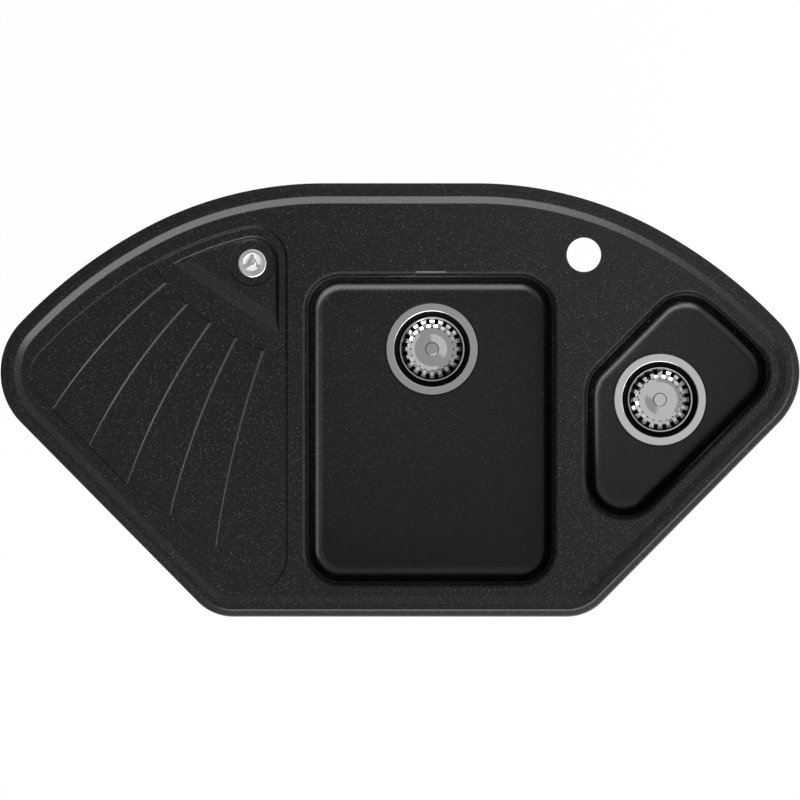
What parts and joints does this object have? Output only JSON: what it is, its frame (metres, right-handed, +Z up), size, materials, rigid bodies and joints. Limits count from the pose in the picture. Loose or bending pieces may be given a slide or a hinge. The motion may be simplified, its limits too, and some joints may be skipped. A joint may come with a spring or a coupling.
{
  "type": "corner kitchen sink",
  "caption": "Inset corner kitchen sink in black composite with a main bowl, a small bowl, a fan-ribbed drainer, basket strainers, overflow, bottle trap and fixing clips.",
  "frame": {"origin": "middle of the front edge's seat strip, on the worktop face that the rim rests on", "axes": "+X to the right, +Y from the front edge towards the corner of the kitchen, +Z up"},
  "size_m": [1.06, 0.575, 0.4786],
  "materials": {
    "composite": "fine-grained matt black composite with light specks",
    "strainer_steel": "satin stainless sheet with polished edges",
    "outlet_chrome": "polished",
    "seal_rubber": "matt",
    "white_plastic": "smooth moulded",
    "hose_plastic": "smooth flexible",
    "zinc": "dull zinc plating"
  },
  "bodies": {
    "sink": {"basin": "composite", "rim_seal": "seal_rubber", "main_flange_gasket": "seal_rubber", "main_strainer_flange": "strainer_steel", "main_lower_gasket": "seal_rubber", "main_waste_body": "white_plastic", "main_clamp_screw": "zinc", "main_waste_nut": "white_plastic", "small_flange_gasket": "seal_rubber", "small_strainer_flange": "strainer_steel", "small_lower_gasket": "seal_rubber", "small_waste_body": "white_plastic", "small_clamp_screw": "zinc", "small_waste_nut": "white_plastic", "branch_tee": "white_plastic", "small_waste_pipe": "white_plastic", "branch_nut": "white_plastic", "trap_body": "white_plastic", "trap_inlet_nut": "white_plastic", "trap_outlet_nut": "white_plastic", "trap_outlet_pipe": "white_plastic", "drainer_rosette": "outlet_chrome", "drainer_rosette_screw": "outlet_chrome", "drainer_gasket": "seal_rubber", "drainer_elbow": "white_plastic", "overflow_gasket": "seal_rubber", "overflow_elbow": "white_plastic", "drainer_hose": "hose_plastic", "overflow_hose": "hose_plastic", "fixing_screw_1": "zinc", "fixing_screw_2": "zinc", "fixing_screw_3": "zinc", "fixing_screw_4": "zinc", "fixing_screw_5": "zinc", "fixing_screw_6": "zinc", "fixing_screw_7": "zinc", "fixing_screw_8": "zinc"},
    "main_basket_set": {"main_basket": "strainer_steel", "main_basket_knob": "strainer_steel", "main_basket_plug": "seal_rubber"},
    "small_basket_set": {"small_basket": "strainer_steel", "small_basket_knob": "strainer_steel", "small_basket_plug": "seal_rubber"},
    "trap_cup_body": {"trap_cup": "white_plastic"},
    "clip_1": {"fixing_clip_1": "zinc"},
    "clip_2": {"fixing_clip_2": "zinc"},
    "clip_3": {"fixing_clip_3": "zinc"},
    "clip_4": {"fixing_clip_4": "zinc"},
    "clip_5": {"fixing_clip_5": "zinc"},
    "clip_6": {"fixing_clip_6": "zinc"},
    "clip_7": {"fixing_clip_7": "zinc"},
    "clip_8": {"fixing_clip_8": "zinc"}
  },
  "joints": [
    {"name": "main_basket_lift", "type": "slide", "parent": "sink", "child": "main_basket_set", "axis": [0, 0, 1], "range_m": [0, 0.25]},
    {"name": "small_basket_lift", "type": "slide", "parent": "sink", "child": "small_basket_set", "axis": [0, 0, 1], "range_m": [0, 0.2]},
    {"name": "trap_cup_drop", "type": "slide", "parent": "sink", "child": "trap_cup_body", "axis": [0, 0, -1], "range_m": [0, 0.06]},
    {"name": "clip_1_swing", "type": "hinge", "parent": "sink", "child": "clip_1", "pos_m": [-0.16806, 0.011, -0.0435], "axis": [0, 0, -1], "range_deg": [0, 90]},
    {"name": "clip_2_swing", "type": "hinge", "parent": "sink", "child": "clip_2", "pos_m": [0.17691, 0.011, -0.0435], "axis": [0, 0, -1], "range_deg": [0, 90]},
    {"name": "clip_3_swing", "type": "hinge", "parent": "sink", "child": "clip_3", "pos_m": [0.3682, 0.14215, -0.0435], "axis": [0, 0, -1], "range_deg": [0, 90]},
    {"name": "clip_4_swing", "type": "hinge", "parent": "sink", "child": "clip_4", "pos_m": [0.37941, 0.44989, -0.0435], "axis": [0, 0, -1], "range_deg": [0, 90]},
    {"name": "clip_5_swing", "type": "hinge", "parent": "sink", "child": "clip_5", "pos_m": [0.13959, 0.53608, -0.0435], "axis": [0, 0, -1], "range_deg": [0, 90]},
    {"name": "clip_6_swing", "type": "hinge", "parent": "sink", "child": "clip_6", "pos_m": [-0.10741, 0.53748, -0.0435], "axis": [0, 0, -1], "range_deg": [0, 90]},
    {"name": "clip_7_swing", "type": "hinge", "parent": "sink", "child": "clip_7", "pos_m": [-0.37941, 0.44989, -0.0435], "axis": [0, 0, -1], "range_deg": [0, 90]},
    {"name": "clip_8_swing", "type": "hinge", "parent": "sink", "child": "clip_8", "pos_m": [-0.35648, 0.13028, -0.0435], "axis": [0, 0, -1], "range_deg": [0, 90]}
  ]
}
